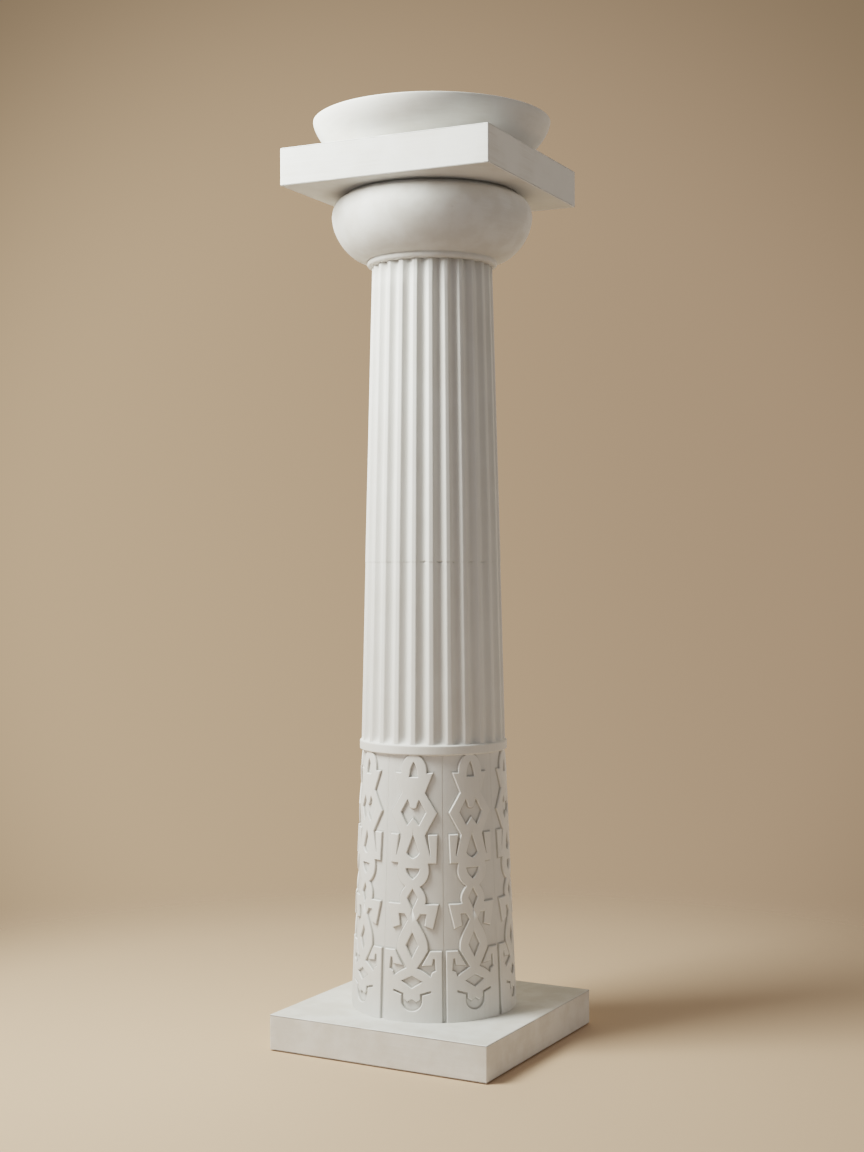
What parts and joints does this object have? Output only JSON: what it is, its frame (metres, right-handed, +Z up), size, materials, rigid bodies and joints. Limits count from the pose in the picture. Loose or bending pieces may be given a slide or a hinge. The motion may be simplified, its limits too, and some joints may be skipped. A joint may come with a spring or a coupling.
{
  "type": "doric column",
  "caption": "Free-standing decorative plaster column with a square plinth, a strapwork drum, a fluted shaft, a cushion capital, a square abacus and a round crown disc.",
  "frame": {"origin": "centre of the plinth's underside, on the floor", "axes": "+Z up along the column's axis, the plinth's sides along X and Y, and the face seen broadest in the picture towards -Y"},
  "size_m": [0.6022, 0.6022, 2.32],
  "materials": {
    "plaster": "matt white cast plaster, brushed on the slab sides"
  },
  "bodies": {
    "root": {"plinth": "plaster", "carved_drum": "plaster", "lower_shaft": "plaster", "upper_shaft": "plaster", "echinus": "plaster", "abacus": "plaster", "crown_disc": "plaster"}
  },
  "joints": []
}
